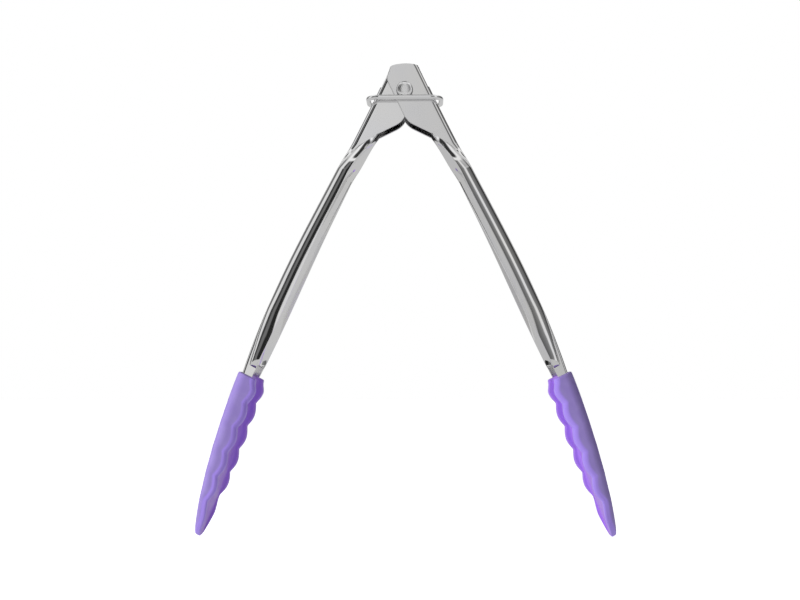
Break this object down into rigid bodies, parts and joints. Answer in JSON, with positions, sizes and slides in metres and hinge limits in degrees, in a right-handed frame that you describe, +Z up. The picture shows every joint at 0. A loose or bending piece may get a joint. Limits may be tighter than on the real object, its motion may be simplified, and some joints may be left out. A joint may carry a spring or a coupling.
{
  "type": "spring loaded kitchen tongs",
  "caption": "Spring loaded kitchen tongs: hinged steel channel arms, torsion spring, sliding wire lock ring and scalloped silicone tips.",
  "frame": {"origin": "bottom centre of the bounding box: between the two tips, at the height of their ends", "axes": "+Z up along the tongs from the tips to the rivet; +X from the left arm to the right arm, the way they open; the rivet's axis lies along Y"},
  "size_m": [0.186, 0.0428, 0.2099],
  "materials": {
    "arm_steel": "stamped stainless sheet, polished, with a fine grain along the arm",
    "wire_steel": "polished stainless wire and rivet",
    "spring_steel": "drawn spring wire, satin",
    "silicone": "moulded purple silicone, satin"
  },
  "bodies": {
    "pivot": {"pivot_rivet": "wire_steel", "spacer_tube": "wire_steel", "torsion_spring": "spring_steel"},
    "left_arm": {"left_arm": "arm_steel", "left_tip": "silicone"},
    "right_arm": {"right_arm": "arm_steel", "right_tip": "silicone"},
    "lock_ring": {"lock_ring": "wire_steel"}
  },
  "joints": [
    {"name": "left_arm_close", "type": "hinge", "parent": "pivot", "child": "left_arm", "pos_m": [0, 0, 0.19868], "axis": [0, -1, 0], "range_deg": [0, 24], "stiffness_Nm_per_rad": 0.6, "springref_deg": -20.05, "deforming": ["torsion_spring"]},
    {"name": "right_arm_close", "type": "hinge", "parent": "pivot", "child": "right_arm", "pos_m": [0, 0, 0.19868], "axis": [0, 1, 0], "range_deg": [0, 24], "stiffness_Nm_per_rad": 0.6, "springref_deg": -20.05},
    {"name": "lock_ring_slide", "type": "slide", "parent": "pivot", "child": "lock_ring", "axis": [0, 0, -1], "range_m": [0, 0.0145]}
  ],
  "couplings": [
    {"joint": "right_arm_close", "follows": "left_arm_close", "ratio": 1},
    {"joint": "lock_ring_slide", "follows": "left_arm_close", "m_per_rad": 0.0334}
  ]
}
